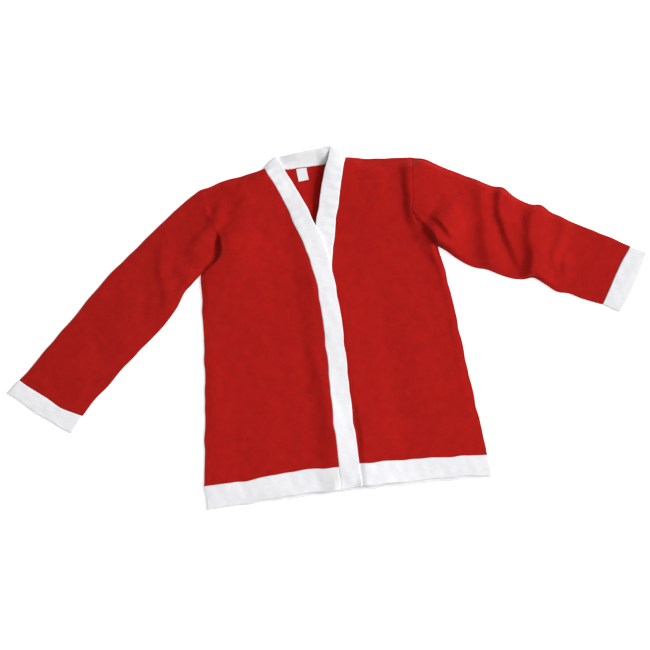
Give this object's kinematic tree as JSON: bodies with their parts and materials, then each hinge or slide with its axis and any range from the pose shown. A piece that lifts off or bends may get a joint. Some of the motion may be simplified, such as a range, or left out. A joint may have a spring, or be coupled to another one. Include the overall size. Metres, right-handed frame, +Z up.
{
  "type": "santa suit jacket",
  "caption": "Long-sleeved hip-length costume jacket of red felt with a white front band, cuffs and hem, laid out flat on its back.",
  "frame": {"origin": "on the surface that the jacket lies on, under the centre back, half-way between the hem and the shoulders", "axes": "+X to the wearer's left, +Y from hem to neck along the centre back, +Z up from the surface"},
  "size_m": [1.467, 0.7856, 0.0271],
  "materials": {
    "red_felt": "matte, lightly mottled",
    "white_felt": "matte, lightly mottled",
    "label_cloth": "smooth woven"
  },
  "bodies": {
    "root": {"back_panel": "red_felt", "front_right": "red_felt", "front_left": "red_felt", "sleeve_right": "red_felt", "sleeve_left": "red_felt", "front_band": "white_felt", "hem_band_back": "white_felt", "hem_band_front_right": "white_felt", "hem_band_front_left": "white_felt", "cuff_right": "white_felt", "cuff_left": "white_felt", "neck_label": "label_cloth"}
  },
  "joints": []
}
